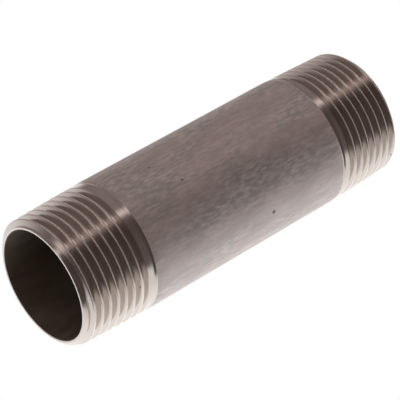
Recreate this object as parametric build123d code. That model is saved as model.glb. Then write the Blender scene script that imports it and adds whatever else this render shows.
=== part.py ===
from build123d import *

import math
import os

# Pipe nipple: a length of steel tube with a right-hand taper pipe thread cut on each end.
# It stands on its bottom end, with the axis along +Z and the origin at the centre of that end.
# Lengths are in millimetres and angles in degrees.

# The tube that the nipple is cut from
nipple_length = 100.0
pipe_diameter = 33.7
pipe_wall = 2.6

# The taper thread, nominal size 1, measured from the end that it starts on. Its crests are smaller
# than the pipe by the allowance at the gauge length, where the standard diameter is 33.249.
inch = 25.4
threads_per_inch = 11
thread_angle = 55.0
taper_on_diameter = 1 / 16
gauge_allowance = 0.451
gauge_length = 10.4
useful_thread_length = 16.8

# The thread form, as shares of the pitch
sharp_height_share = 0.960491
truncation_share = 1 / 6

# How the tool leaves the metal at the end of the useful thread
runout_turns = 0.6
tool_clearance = 0.2
points_per_turn = 24

# The end face's flat rim and chamfer, and the turned band and stop groove beside the plain pipe
end_rim_width = 0.5
end_chamfer_length = 1.2
turned_step = 0.1
stop_groove_depth = 0.35
stop_groove_width = 0.8
bottom_turned_length = 19.4
top_turned_length = 20.4

# Where each thread's crest crosses the line of zero angle, from its own end
bottom_crest_height = 2.06
top_crest_height = 1.32


pitch = inch / threads_per_inch
pipe_radius = pipe_diameter / 2
bore_radius = pipe_radius - pipe_wall
turned_radius = pipe_radius - turned_step
gauge_radius = (pipe_diameter - gauge_allowance) / 2

sharp_height = sharp_height_share * pitch
thread_depth = sharp_height * (1 - 2 * truncation_share)
flat_half_width = truncation_share * pitch / 2
flank_slope = math.tan(math.radians(thread_angle / 2))


def crest_radius(height):
    """Radius of the thread crests at a height above the end that the thread starts on."""
    return gauge_radius + (height - gauge_length) * taper_on_diameter / 2


def tube_blank():
    """The tube before threading: bored, chamfered and turned to the taper at both ends."""

    def end_outline(turned_length):
        """Outer outline of one end, from the end face to the plain pipe, as (radius, height)."""
        taper_end = gauge_length + (turned_radius - gauge_radius) * 2 / taper_on_diameter
        groove_radius = pipe_radius - stop_groove_depth
        groove_start = turned_length - stop_groove_width
        return [
            (bore_radius + end_rim_width, 0),
            (crest_radius(end_chamfer_length), end_chamfer_length),
            (turned_radius, taper_end),
            (turned_radius, groove_start),
            (groove_radius, groove_start + turned_radius - groove_radius),
            (groove_radius, turned_length - stop_groove_depth),
            (pipe_radius, turned_length),
        ]

    bottom = end_outline(bottom_turned_length)
    top = [(radius, nipple_length - height) for radius, height in end_outline(top_turned_length)]
    outline = [(bore_radius, 0)] + bottom + top[::-1] + [(bore_radius, nipple_length)]
    section = Plane.XZ * make_face(Polyline(*outline, close=True))
    return revolve(section, Axis.Z)


def thread_tool(crest_height):
    """The space that the threading tool sweeps, for a thread that starts at the bottom end.

    The tool's section is the sharp V with its tip cut off flat. It follows the taper upwards by one
    pitch a turn, from below the end face to the useful length, and is then drawn out of the metal.
    The space comes as one solid for each turn, and the turns join opposite the line of zero angle.
    """
    tool_height = thread_depth + tool_clearance
    tip_half_width = flat_half_width
    top_half_width = tip_half_width + tool_height * flank_slope
    section = [
        (0, -tip_half_width),
        (0, tip_half_width),
        (tool_height, top_half_width),
        (tool_height, -top_half_width),
    ]

    groove_height = crest_height + pitch / 2
    first_turn = -math.ceil(groove_height / pitch + 1) + 0.5
    runout_turn = (useful_thread_length - groove_height) / pitch
    last_turn = runout_turn + runout_turns

    def corner(turn, rise, across):
        """A corner of the tool's section after so many turns."""
        height = groove_height + pitch * turn
        drawn_out = max(0.0, turn - runout_turn) / runout_turns
        radius = crest_radius(height) - thread_depth + rise + tool_height * drawn_out ** 2
        angle = 2 * math.pi * turn
        return Vector(radius * math.cos(angle), radius * math.sin(angle), height + across)

    def swept(start, stop):
        """The space swept between two turns."""
        steps = math.ceil((stop - start) * points_per_turn)
        turns = [start + (stop - start) * step / steps for step in range(steps + 1)]
        edges = [
            Edge.make_spline([corner(turn, rise, across) for turn in turns])
            for rise, across in section
        ]
        sides = [
            Face.make_surface_from_curves(near, far) for near, far in zip(edges, edges[1:] + edges[:1])
        ]
        caps = [
            Face(Wire.make_polygon([corner(turn, rise, across) for rise, across in section]))
            for turn in (start, stop)
        ]
        return Solid(Shell(sides + caps))

    whole_turns = math.floor(runout_turn - first_turn)
    joins = [first_turn + turn for turn in range(whole_turns)] + [runout_turn, last_turn]
    return [swept(start, stop) for start, stop in zip(joins, joins[1:])]


def pipe_nipple():
    """The finished nipple: the blank with a thread cut upwards and a thread cut downwards."""
    turned_over = Pos(0, 0, nipple_length) * Rot(180, 0, 0)
    cuts = thread_tool(bottom_crest_height)
    cuts += [turned_over * turn for turn in thread_tool(top_crest_height)]
    return tube_blank().cut(*cuts)


os.makedirs("parts", exist_ok=True)
export_step(pipe_nipple(), "parts/pipe_nipple.step")
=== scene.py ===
import math

import bpy
from mathutils import Matrix, Vector


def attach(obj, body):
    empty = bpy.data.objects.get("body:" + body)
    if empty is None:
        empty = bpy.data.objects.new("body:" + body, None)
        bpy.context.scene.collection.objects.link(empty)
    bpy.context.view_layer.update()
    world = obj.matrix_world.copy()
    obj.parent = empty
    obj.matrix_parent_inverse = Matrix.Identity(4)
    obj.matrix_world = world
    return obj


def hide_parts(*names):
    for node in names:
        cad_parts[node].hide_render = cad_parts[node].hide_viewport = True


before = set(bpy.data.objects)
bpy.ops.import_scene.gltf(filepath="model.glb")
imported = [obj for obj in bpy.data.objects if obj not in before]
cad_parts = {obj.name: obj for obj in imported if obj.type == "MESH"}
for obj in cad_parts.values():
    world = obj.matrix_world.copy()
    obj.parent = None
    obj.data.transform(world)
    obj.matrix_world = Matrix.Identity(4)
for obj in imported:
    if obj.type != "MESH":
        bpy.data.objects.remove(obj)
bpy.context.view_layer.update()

# The nipple
# One length of welded stainless steel tube, pickled to a satin grey outside. A right-hand taper pipe
# thread is cut on each end, with a chamfer where it starts and a turned band and a narrow stop groove
# where the tool leaves it. It is all one piece of metal.

mm = 0.001
full_circle = 2 * math.pi

nipple_length = 100 * mm
bottom_turned_length = 19.4 * mm
top_turned_length = 20.4 * mm
bottom_crest_height = 2.06 * mm
top_crest_height = 1.32 * mm
thread_zone_length = 18.4 * mm

pitch = 25.4 * mm / 11
half_thread_angle = math.radians(27.5)
flank_slope = 1 / math.tan(half_thread_angle)
rounding_radius = 0.137329 * pitch
rounding_run = rounding_radius * math.cos(half_thread_angle)
rounding_rise = rounding_radius * (1 - math.sin(half_thread_angle))
flank_run = pitch / 2 - 2 * rounding_run
thread_depth = 2 * rounding_rise + flank_slope * flank_run

wall_sizes = {
    "Pipe radius": 16.85 * mm,
    "Bore radius": 14.25 * mm,
    "Bore edge break": 0.1 * mm,
}
end_sizes = {
    **wall_sizes,
    "Rim width": 0.5 * mm,
    "Chamfer length": 1.2 * mm,
    "Pitch": pitch,
    "Gauge radius": 16.6245 * mm,
    "Gauge length": 10.4 * mm,
    "Taper on radius": 1 / 32,
    "Useful length": 16.8 * mm,
    "Thread zone length": thread_zone_length,
    "Thread depth": thread_depth,
    "Flank slope": flank_slope,
    "Flank run": flank_run,
    "Rounding radius": rounding_radius,
    "Rounding run": rounding_run,
    "Runout length": 0.6 * pitch,
    "Tool height": thread_depth + 0.2 * mm,
    "Turned step": 0.1 * mm,
    "Stop groove depth": 0.35 * mm,
    "Stop groove width": 0.8 * mm,
    "Shoulder edge": 0.15 * mm,
    "Shoulder edge rise": 0.35,
}
turns_outside = 2
thread_turns = 10
rows_per_turn = 36
columns = 128
band_row_step = 0.05 * mm
rim_rows = 11
barrel_rows = 30
bore_rows = 16
seam_gap = 0.001 * mm
sharp_edge = math.radians(32)


class Amount:
    """A number worked out by Math nodes, so that formulas in a node tree read as plain sums."""

    def __init__(self, tree, socket):
        self.tree = tree
        self.socket = socket

    def worked(self, operation, *others):
        """The result of one Math node on this amount and the others."""
        node = self.tree.nodes.new("ShaderNodeMath")
        node.operation = operation
        for entry, value in zip(node.inputs, (self, *others)):
            put(self.tree, value, entry)
        return Amount(self.tree, node.outputs[0])

    def __add__(self, other):
        return self.worked("ADD", other)

    def __sub__(self, other):
        return self.worked("SUBTRACT", other)

    def __mul__(self, other):
        return self.worked("MULTIPLY", other)

    def __truediv__(self, other):
        return self.worked("DIVIDE", other)


def put(tree, value, entry):
    """Gives a socket a number, a colour, or another node's result."""
    if isinstance(value, Amount):
        value = value.socket
    if isinstance(value, bpy.types.NodeSocket):
        tree.links.new(value, entry)
    else:
        entry.default_value = value


def node_of(tree, kind, entries=None, **settings):
    """A new node with its settings and the sockets it is given."""
    node = tree.nodes.new(kind)
    for name, value in settings.items():
        setattr(node, name, value)
    for name, value in (entries or {}).items():
        put(tree, value, node.inputs[name])
    return node


def least(first, second):
    return first.worked("MINIMUM", second)


def greatest(first, second):
    return first.worked("MAXIMUM", second)


def named_sizes(tree, sizes):
    """Adds an input for each size. Returns the amounts, for formulas, and the identifiers."""
    for name, value in sizes.items():
        kind = "NodeSocketInt" if isinstance(value, int) else "NodeSocketFloat"
        tree.interface.new_socket(name, in_out="INPUT", socket_type=kind).default_value = value
    given = tree.nodes.new("NodeGroupInput")
    return {name: Amount(tree, given.outputs[name]) for name in sizes}


def rolled_sheet(tree, rows, run, wrap):
    """A sheet as wide as a full circle and as long as the run, rolled up by the rule in wrap.

    wrap takes the way along the sheet and the angle. It gives back the radius and the height of the
    wall there, and how deep the point lies in the thread, as a share of the thread's depth.
    """
    grid = node_of(
        tree, "GeometryNodeMeshGrid",
        {"Size X": run, "Size Y": full_circle, "Vertices X": rows, "Vertices Y": columns + 1},
    )
    flat = node_of(
        tree, "ShaderNodeSeparateXYZ", {0: node_of(tree, "GeometryNodeInputPosition").outputs[0]}
    )
    angle = Amount(tree, flat.outputs["Y"])
    radius, height, depth = wrap(Amount(tree, flat.outputs["X"]) + run / 2, angle)
    marked = node_of(
        tree, "GeometryNodeStoreNamedAttribute",
        {"Geometry": grid.outputs["Mesh"], "Name": "thread_depth", "Value": depth},
        data_type="FLOAT", domain="POINT",
    )
    point = node_of(
        tree, "ShaderNodeCombineXYZ",
        {"X": radius * angle.worked("COSINE"), "Y": radius * angle.worked("SINE"), "Z": height},
    )
    rolled = node_of(
        tree, "GeometryNodeSetPosition",
        {"Geometry": marked.outputs["Geometry"], "Position": point.outputs[0]},
    )
    return rolled.outputs["Geometry"]


# One threaded end, standing on its end face: the rim, the chamfer, the thread on its taper, the run
# out, the turned band, the stop groove and the shoulder up to the plain pipe.
threaded_end = bpy.data.node_groups.new("threaded_end", "GeometryNodeTree")
end = named_sizes(
    threaded_end,
    {"Band rows": 2, "Turned length": bottom_turned_length, "Crest height": bottom_crest_height, **end_sizes},
)
threaded_end.interface.new_socket("Mesh", in_out="OUTPUT", socket_type="NodeSocketGeometry")
end["Band end"] = end["Turned length"] + end["Shoulder edge"]


def crest_radius(height):
    return end["Gauge radius"] + (height - end["Gauge length"]) * end["Taper on radius"]


def rounded(run):
    """Height of a crest's or root's rounding above its centre, at a run from its middle."""
    reach = least(run, end["Rounding run"])
    return (end["Rounding radius"] * end["Rounding radius"] - reach * reach).worked("SQRT")


def outside_at(height, angle):
    """Radius of the end's outside, and how deep the thread is cut there."""
    crest = crest_radius(height)

    # The thread form, from the middle of the nearest groove
    turn = angle / full_circle
    turns_up = (height - end["Crest height"]) / end["Pitch"] - turn
    groove_turn = turns_up.worked("FLOOR") + 0.5
    groove_height = end["Crest height"] + (groove_turn + turn) * end["Pitch"]
    across = (turns_up - groove_turn).worked("ABSOLUTE") * end["Pitch"]
    root_rise = end["Rounding radius"] - rounded(across)
    flank_rise = least(greatest(across - end["Rounding run"], 0), end["Flank run"]) * end["Flank slope"]
    crest_rise = rounded(end["Pitch"] / 2 - across) - rounded(end["Rounding run"])
    drawn_out = greatest(groove_height - end["Useful length"], 0) / end["Runout length"]
    tool_lift = end["Tool height"] * drawn_out * drawn_out
    cut = crest - end["Thread depth"] + root_rise + flank_rise + crest_rise + tool_lift

    # The turned blank that the thread is cut in
    rim_radius = end["Bore radius"] + end["Rim width"]
    chamfer_rise = (crest_radius(end["Chamfer length"]) - rim_radius) / end["Chamfer length"]
    chamfer = rim_radius + height * chamfer_rise
    turned = end["Pipe radius"] - end["Turned step"]
    floor = end["Pipe radius"] - end["Stop groove depth"]
    into_groove = turned - (height - (end["Turned length"] - end["Stop groove width"]))
    out_of_groove = floor + height - (end["Turned length"] - end["Stop groove depth"])
    blank = least(least(chamfer, crest), least(turned, greatest(into_groove, floor)))
    broken_edge = end["Pipe radius"] - (end["Band end"] - height) * end["Shoulder edge rise"]
    shoulder = least(out_of_groove, broken_edge)
    outside = least(greatest(blank, shoulder), cut)
    return outside, greatest(crest - outside, 0) / end["Thread depth"]


def thread_wall(along, angle):
    """The threaded stretch. Its rows wind with the thread, and stop at its two ends."""
    start = end["Crest height"] - end["Pitch"] * turns_outside
    winding = start + along + end["Pitch"] * (angle / full_circle)
    height = greatest(least(winding, end["Thread zone length"]), 0)
    radius, depth = outside_at(height, angle)
    return radius, height, depth


def band_wall(along, angle):
    """The turned band, the stop groove and the shoulder beside the plain pipe."""
    height = end["Thread zone length"] + along
    radius, depth = outside_at(height, angle)
    return radius, height, depth


def rim_wall(along, angle):
    """The flat end face, from the broken edge of the bore out to the chamfer."""
    return end["Bore radius"] + along, greatest(end["Bore edge break"] - along, 0), 0.0


def joined_mesh(tree, sheets):
    """The sheets as one mesh, with their edges merged where they meet."""
    joined = node_of(tree, "GeometryNodeJoinGeometry")
    for sheet in sheets:
        tree.links.new(sheet, joined.inputs["Geometry"])
    closed = node_of(
        tree, "GeometryNodeMergeByDistance",
        {"Geometry": joined.outputs["Geometry"], "Distance": seam_gap},
    )
    return closed.outputs["Geometry"]


band_run = end["Band end"] - end["Thread zone length"]
end_mesh = joined_mesh(
    threaded_end,
    [
        rolled_sheet(threaded_end, thread_turns * rows_per_turn + 1, end["Pitch"] * thread_turns, thread_wall),
        rolled_sheet(threaded_end, end["Band rows"], band_run, band_wall),
        rolled_sheet(threaded_end, rim_rows, end["Rim width"], rim_wall),
    ],
)
put(threaded_end, end_mesh, threaded_end.nodes.new("NodeGroupOutput").inputs["Mesh"])

# The whole nipple: an end at the bottom, the same end turned over at the top, the plain pipe between
# them and the bore through the middle.
nipple_sizes = {
    "Nipple length": nipple_length,
    "Bottom turned length": bottom_turned_length,
    "Bottom crest height": bottom_crest_height,
    "Bottom band rows": round((bottom_turned_length - thread_zone_length) / band_row_step) + 1,
    "Top turned length": top_turned_length,
    "Top crest height": top_crest_height,
    "Top band rows": round((top_turned_length - thread_zone_length) / band_row_step) + 1,
    "Barrel rows": barrel_rows,
    "Bore rows": bore_rows,
    **end_sizes,
}
nipple_tree = bpy.data.node_groups.new("nipple", "GeometryNodeTree")
whole = named_sizes(nipple_tree, nipple_sizes)
nipple_tree.interface.new_socket("Mesh", in_out="OUTPUT", socket_type="NodeSocketGeometry")


def end_of(which):
    """One of the two ends, standing at the bottom."""
    group = node_of(nipple_tree, "GeometryNodeGroup", node_tree=threaded_end)
    for name in end_sizes:
        put(nipple_tree, whole[name], group.inputs[name])
    put(nipple_tree, whole[f"{which} band rows"], group.inputs["Band rows"])
    put(nipple_tree, whole[f"{which} turned length"], group.inputs["Turned length"])
    put(nipple_tree, whole[f"{which} crest height"], group.inputs["Crest height"])
    return group.outputs["Mesh"]


def barrel_wall(along, angle):
    return whole["Pipe radius"] + angle * 0, barrel_start + along, 0.0


def bore_wall(along, angle):
    return whole["Bore radius"] + angle * 0, whole["Nipple length"] - whole["Bore edge break"] - along, 0.0


height_up = node_of(nipple_tree, "ShaderNodeCombineXYZ", {"Z": whole["Nipple length"]})
top_end = node_of(
    nipple_tree, "GeometryNodeTransform",
    {"Geometry": end_of("Top"), "Translation": height_up.outputs[0], "Rotation": (math.pi, 0, 0)},
)
barrel_start = whole["Bottom turned length"] + whole["Shoulder edge"]
barrel_stop = whole["Nipple length"] - whole["Top turned length"] - whole["Shoulder edge"]
barrel_run = barrel_stop - barrel_start
bore_run = whole["Nipple length"] - whole["Bore edge break"] * 2
whole_mesh = joined_mesh(
    nipple_tree,
    [
        end_of("Bottom"),
        top_end.outputs["Geometry"],
        rolled_sheet(nipple_tree, whole["Barrel rows"], barrel_run, barrel_wall),
        rolled_sheet(nipple_tree, whole["Bore rows"], bore_run, bore_wall),
    ],
)
outwards = node_of(nipple_tree, "GeometryNodeFlipFaces", {"Mesh": whole_mesh})
smooth = node_of(nipple_tree, "GeometryNodeSetShadeSmooth", {"Geometry": outwards.outputs["Mesh"]})
real = node_of(nipple_tree, "GeometryNodeRealizeInstances", {"Geometry": smooth.outputs["Geometry"]})

# The steel: pickled grey on the pipe, bright and cut on the turned ends, and dark in the bore. Every
# finish is a pattern in the metal's own height and angle, so it follows the nipple when it is turned.
drawn_lines = (1500, 1500, 450)
cloud_scale = (420, 420, 110)
tint_scale = (140, 140, 50)
turning_lines = (60, 60, 9000)
bore_scale = (500, 500, 90)


def steel(name, metallic):
    """A metal's material, with its node tree and shader, before its finish is added."""
    material = bpy.data.materials.new(name)
    material.use_nodes = True
    shader = material.node_tree.nodes["Principled BSDF"]
    shader.inputs["Metallic"].default_value = metallic
    return material, material.node_tree, shader


def mottle(tree, scale, detail):
    """Noise on the object's coordinates, drawn out by a scale for each axis."""
    own = node_of(tree, "ShaderNodeTexCoord").outputs["Object"]
    stretched = node_of(tree, "ShaderNodeVectorMath", {0: own, 1: scale}, operation="MULTIPLY")
    noise = node_of(
        tree, "ShaderNodeTexNoise", {"Vector": stretched.outputs[0], "Scale": 1.0, "Detail": detail}
    )
    return Amount(tree, noise.outputs["Fac"])


def between(share, low, high):
    """An amount that runs from low to high over the middle of a noise's range."""
    return eased(share, 0.35, 0.65, low, high)


def eased(value, start, stop, low, high):
    """A soft step: low where the value is at the start, and high where it is at the stop."""
    step = node_of(
        value.tree, "ShaderNodeMapRange",
        {"Value": value, "From Min": start, "From Max": stop, "To Min": low, "To Max": high},
        interpolation_type="SMOOTHSTEP",
    )
    return Amount(value.tree, step.outputs["Result"])


def blended(tree, share, low, high):
    """A colour between two others."""
    return node_of(
        tree, "ShaderNodeMix", {0: share, 6: (*low, 1), 7: high if len(high) == 4 else (*high, 1)},
        data_type="RGBA",
    ).outputs[2]


def turned_to(tree, colour, share, other):
    """A colour turned towards another by the share."""
    return node_of(tree, "ShaderNodeMix", {0: share, 6: colour, 7: (*other, 1)}, data_type="RGBA").outputs[2]


def specks(tree, places):
    """How much each point lies in one of the small dark specks, given as (x, y, z, radius)."""
    own = node_of(tree, "ShaderNodeTexCoord").outputs["Object"]
    total = None
    for x, y, z, radius in places:
        apart = node_of(tree, "ShaderNodeVectorMath", {0: own, 1: (x, y, z)}, operation="DISTANCE")
        near = eased(Amount(tree, apart.outputs["Value"]), radius * 1.2, radius * 0.5, 0, 1)
        total = greatest(total, near) if total else near
    return total


def speck_at(wall_radius, height, angle, radius):
    """The place of a speck on the wall, at an angle in degrees from the front towards the left."""
    turned = math.radians(angle)
    return -wall_radius * math.sin(turned), -wall_radius * math.cos(turned), height, radius


# The pipe: clouded grey, with faint lines along it from drawing, and three dark pickling specks.
pickled_pipe, pipe_tree, pipe_shader = steel("pickled_pipe", 0.5)
lines = mottle(pipe_tree, drawn_lines, 3.0)
clouds = mottle(pipe_tree, cloud_scale, 2.0)
tint = mottle(pipe_tree, tint_scale, 1.0)
pipe_specks = [
    speck_at(16.85 * mm, 42.8 * mm, 44.5, 0.6 * mm),
    speck_at(16.85 * mm, 66.9 * mm, -44.0, 0.3 * mm),
    speck_at(16.85 * mm, 63.0 * mm, -19.0, 0.35 * mm),
]
cool = blended(pipe_tree, between(lines, 0.0, 1.0), (0.60, 0.56, 0.54), (0.90, 0.84, 0.80))
pink = (0.86, 0.73, 0.70)
pipe_colour = turned_to(pipe_tree, cool, between(tint, 0.0, 0.55), pink)
pipe_colour = turned_to(pipe_tree, pipe_colour, between(clouds, 0.35, 0.0), (0.50, 0.46, 0.44))
pipe_colour = turned_to(pipe_tree, pipe_colour, specks(pipe_tree, pipe_specks) * 0.75, (0.05, 0.04, 0.04))
put(pipe_tree, pipe_colour, pipe_shader.inputs["Base Color"])
put(pipe_tree, between(lines, 0.55, 0.65), pipe_shader.inputs["Roughness"])
pipe_grain = node_of(
    pipe_tree, "ShaderNodeBump", {"Height": lines, "Strength": 0.35, "Distance": 0.02 * mm}
)
put(pipe_tree, pipe_grain.outputs[0], pipe_shader.inputs["Normal"])

# The turned ends: fine turning lines round the metal, with crests rubbed dull and painted paler, partly rubbing
# wear and partly a painted highlight along each crest line.
turned_steel, turned_tree, turned_shader = steel("turned_steel", 1.0)
in_thread = Amount(
    turned_tree,
    node_of(turned_tree, "ShaderNodeAttribute", attribute_name="thread_depth").outputs["Fac"],
)
# Where the crests lie: rougher there, and painted pale as partly wear and partly a painted highlight along each
# crest.
crest_wear_and_highlight = eased(in_thread, 0.055, 0.015, 0, 1)
turning = mottle(turned_tree, turning_lines, 2.0)
thread_specks = [
    speck_at(16.3 * mm, 94.1 * mm, 50.0, 0.35 * mm),
    speck_at(16.4 * mm, 84.4 * mm, 43.5, 0.3 * mm),
    speck_at(16.2 * mm, 2.4 * mm, 68.5, 0.4 * mm),
    speck_at(15.9 * mm, 1.3 * mm, 62.5, 0.35 * mm),
]
turned_colour = blended(turned_tree, turning, (0.54, 0.48, 0.44), (0.64, 0.58, 0.54))
# The crests turned pale: partly rubbed wear, partly a painted highlight along each crest line.
turned_colour = turned_to(turned_tree, turned_colour, crest_wear_and_highlight, (0.95, 0.89, 0.85))
turned_colour = turned_to(
    turned_tree, turned_colour, specks(turned_tree, thread_specks) * 0.75, (0.05, 0.045, 0.04)
)
put(turned_tree, turned_colour, turned_shader.inputs["Base Color"])
put(turned_tree, between(turning, 0.13, 0.22) + crest_wear_and_highlight * 0.45, turned_shader.inputs["Roughness"])
turning_bump = node_of(
    turned_tree, "ShaderNodeBump", {"Height": turning, "Strength": 0.15, "Distance": 0.005 * mm}
)
put(turned_tree, turning_bump.outputs[0], turned_shader.inputs["Normal"])

# The bore: a dull mottled brown, darker than the pipe outside.
bore_steel, bore_tree, bore_shader = steel("bore_steel", 0.6)
scale = mottle(bore_tree, bore_scale, 4.0)
put(bore_tree, blended(bore_tree, scale, (0.18, 0.15, 0.115), (0.36, 0.31, 0.25)), bore_shader.inputs["Base Color"])
put(bore_tree, between(scale, 0.5, 0.7), bore_shader.inputs["Roughness"])

where = node_of(
    nipple_tree, "ShaderNodeSeparateXYZ", {0: node_of(nipple_tree, "GeometryNodeInputPosition").outputs[0]}
)
across_x = Amount(nipple_tree, where.outputs["X"])
across_y = Amount(nipple_tree, where.outputs["Y"])
up = Amount(nipple_tree, where.outputs["Z"])
from_axis = (across_x * across_x + across_y * across_y).worked("SQRT")
above_bottom = up.worked("GREATER_THAN", barrel_start)
below_top = up.worked("LESS_THAN", barrel_stop)
inside = from_axis.worked("LESS_THAN", whole["Bore radius"] + seam_gap)
painted = real.outputs["Geometry"]
for material, chosen in (
    (turned_steel, None),
    (pickled_pipe, above_bottom * below_top),
    (bore_steel, inside),
):
    coat = node_of(nipple_tree, "GeometryNodeSetMaterial", {"Geometry": painted, "Material": material})
    if chosen:
        put(nipple_tree, chosen, coat.inputs["Selection"])
    painted = coat.outputs["Geometry"]
put(nipple_tree, painted, nipple_tree.nodes.new("NodeGroupOutput").inputs["Mesh"])

seed_mesh = bpy.data.meshes.new("nipple_seed")
maker = bpy.data.objects.new("nipple_maker", seed_mesh)
bpy.context.scene.collection.objects.link(maker)
modifier = maker.modifiers.new("nipple", "NODES")
modifier.node_group = nipple_tree
for item in nipple_tree.interface.items_tree:
    if item.in_out == "INPUT":
        modifier[item.identifier] = nipple_sizes[item.name]
made = bpy.data.meshes.new_from_object(maker.evaluated_get(bpy.context.evaluated_depsgraph_get()))
maker.modifiers.remove(modifier)
bpy.data.objects.remove(maker)
made.set_sharp_from_angle(angle=sharp_edge)
nipple = bpy.data.objects.new("steel_nipple", made)
bpy.context.scene.collection.objects.link(nipple)
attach(nipple, "root")
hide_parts("pipe_nipple")

# The floor
# A pale sheet that the nipple stands on. It shows evenly white and takes no part in the light, as
# the light comes from below as well.
floor_size = 6
floor_mesh = bpy.data.meshes.new("floor")
floor_mesh.from_pydata(
    [(x * floor_size / 2, y * floor_size / 2, 0) for x, y in ((-1, -1), (1, -1), (1, 1), (-1, 1))],
    [],
    [(0, 1, 2, 3)],
)
floor = bpy.data.objects.new("floor", floor_mesh)
bpy.context.scene.collection.objects.link(floor)
pale = bpy.data.materials.new("pale_floor")
pale.use_nodes = True
pale.node_tree.nodes.clear()
glow = node_of(pale.node_tree, "ShaderNodeEmission", {"Color": (1, 1, 1, 1), "Strength": 1.0})
put(
    pale.node_tree, glow.outputs[0],
    pale.node_tree.nodes.new("ShaderNodeOutputMaterial").inputs["Surface"],
)
floor_mesh.materials.append(pale)
floor.visible_diffuse = False
floor.visible_glossy = False
floor.visible_transmission = False
floor.visible_shadow = False

# The light
# A large sheet of white paper behind the nipple and on its left, which fills almost half of what it
# reflects, in a dim room. The sheet ends in a straight edge in front. A long lamp hangs in the room.
bpy.context.scene.view_settings.view_transform = "Standard"
room = bpy.data.worlds.new("room")
bpy.context.scene.world = room
room.use_nodes = True
room_tree = room.node_tree
room_tree.nodes.clear()
toward = node_of(
    room_tree, "ShaderNodeSeparateXYZ",
    {0: node_of(room_tree, "ShaderNodeTexCoord").outputs["Generated"]},
)


def lean(x, y, z):
    """How far each direction leans towards (x, y, z): 1 is straight towards it and -1 away."""
    return (
        Amount(room_tree, toward.outputs["X"]) * x
        + Amount(room_tree, toward.outputs["Y"]) * y
        + Amount(room_tree, toward.outputs["Z"]) * z
    )


away_from_paper = lean(0.676, -0.737, 0)
behind_front_edge = lean(-0.287, 0.9, -0.33)
paper_light = eased(away_from_paper, 0.06, -0.35, 0, 1.0) + eased(away_from_paper, -0.5, -1, 0, 0.35)
paper = eased(behind_front_edge, -0.05, 0.04, 0, 1) * paper_light
from_lamp = (lean(0.94, 0.342, 0) - 0.292).worked("ABSOLUTE")
lamp = eased(from_lamp, 0.14, 0, 0, 1.0) * eased(lean(0, 0, 1), 0.3, 0.95, 1, 0.95)
side_glow = eased(lean(1, 0, 0), 0.15, 0.9, 0, 0.22)
front_glow = eased(lean(-0.7, -0.52, -0.48), 0.3, 1, 0, 0.06)
end_glow = eased(lean(0.55, 0.75, 0.4), 0.8, 1, 0, 0.3)
warm = node_of(
    room_tree, "ShaderNodeMix",
    {0: lamp + side_glow + front_glow + end_glow, 6: (0.085, 0.066, 0.06, 1), 7: (1, 0.88, 0.86, 1)},
    data_type="RGBA", clamp_factor=False,
)
shade = node_of(
    room_tree, "ShaderNodeMix", {0: paper, 6: warm.outputs[2], 7: (1, 1, 1, 1)},
    data_type="RGBA", clamp_factor=False,
)
room_light = node_of(room_tree, "ShaderNodeBackground", {"Color": shade.outputs[2]})
room_seen = node_of(room_tree, "ShaderNodeBackground", {"Color": (1, 1, 1, 1)})
room_mix = node_of(
    room_tree, "ShaderNodeMixShader",
    {
        0: node_of(room_tree, "ShaderNodeLightPath").outputs["Is Camera Ray"],
        1: room_light.outputs[0],
        2: room_seen.outputs[0],
    },
)
put(room_tree, room_mix.outputs[0], room_tree.nodes.new("ShaderNodeOutputWorld").inputs["Surface"])

# The camera
# It looks down on the nipple from in front, rolled so that the axis runs from the lower left of the
# picture to the upper right.
camera_right = Vector((-0.49250, -0.45158, -0.74399))
camera_up = Vector((0.87031, -0.25554, -0.42102))
camera_back = camera_right.cross(camera_up)
camera_place = Vector((-0.67, -484.4, 345.8)) * mm
camera = bpy.data.objects.new("camera", bpy.data.cameras.new("camera"))
bpy.context.scene.collection.objects.link(camera)
bpy.context.scene.camera = camera
camera.data.lens = 212.2
camera.data.sensor_width = 36
camera.data.clip_start = 0.05
camera_turn = Matrix((camera_right, camera_up, camera_back)).transposed().to_4x4()
camera.matrix_world = Matrix.Translation(camera_place) @ camera_turn
